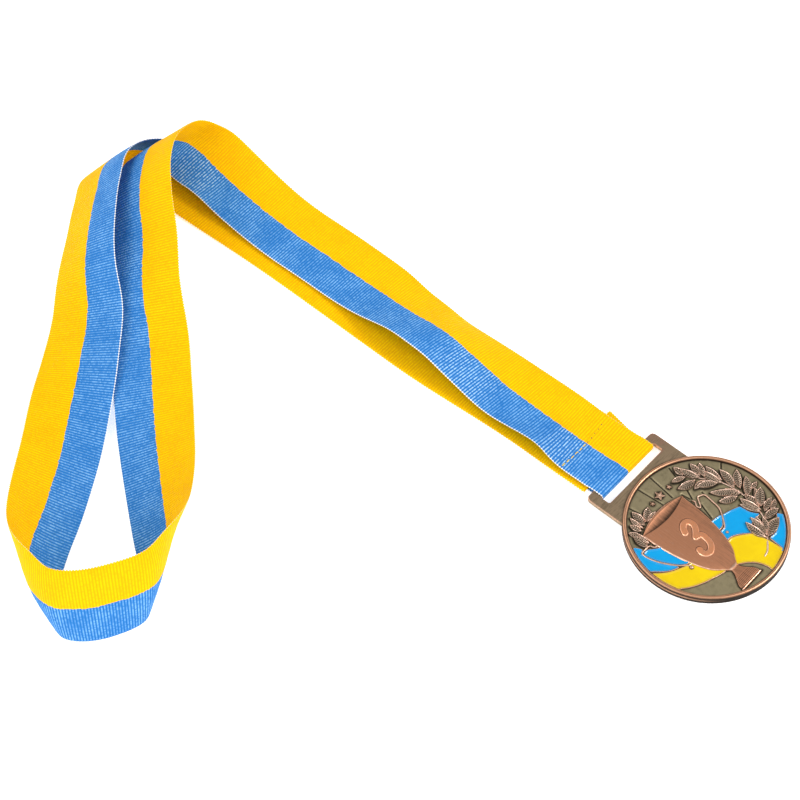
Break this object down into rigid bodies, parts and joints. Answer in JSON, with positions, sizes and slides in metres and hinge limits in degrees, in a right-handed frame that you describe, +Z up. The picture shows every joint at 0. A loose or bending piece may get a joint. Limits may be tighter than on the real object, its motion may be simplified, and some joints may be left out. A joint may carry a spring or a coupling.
{
  "type": "sports medal on a neck ribbon",
  "caption": "Round cast medal with a trophy cup, laurel and enamel pools, on a two-coloured neck ribbon looped through its hanger tab, lying down.",
  "frame": {"origin": "centre of the medal's back face, on the surface that it lies on", "axes": "+Z up out of the relief, +Y from the disc's centre to the hanger tab, +X to the right of the relief"},
  "size_m": [0.1776, 0.2594, 0.0278],
  "materials": {
    "medal": "antique copper plating with a dark olive patina in the sunk field",
    "blue_enamel": "glossy soft enamel",
    "yellow_enamel": "glossy soft enamel",
    "ribbon": "ribbed woven ribbon, one half blue and one half yellow along its length"
  },
  "bodies": {
    "root": {"medal": "medal", "blue_pool_left_outer": "blue_enamel", "blue_pool_left_inner": "blue_enamel", "yellow_pool_left": "yellow_enamel", "blue_pool_right_inner": "blue_enamel", "blue_pool_right": "blue_enamel", "yellow_pool_right": "yellow_enamel", "blue_pool_lower_right": "blue_enamel", "ribbon": "ribbon"}
  },
  "joints": []
}
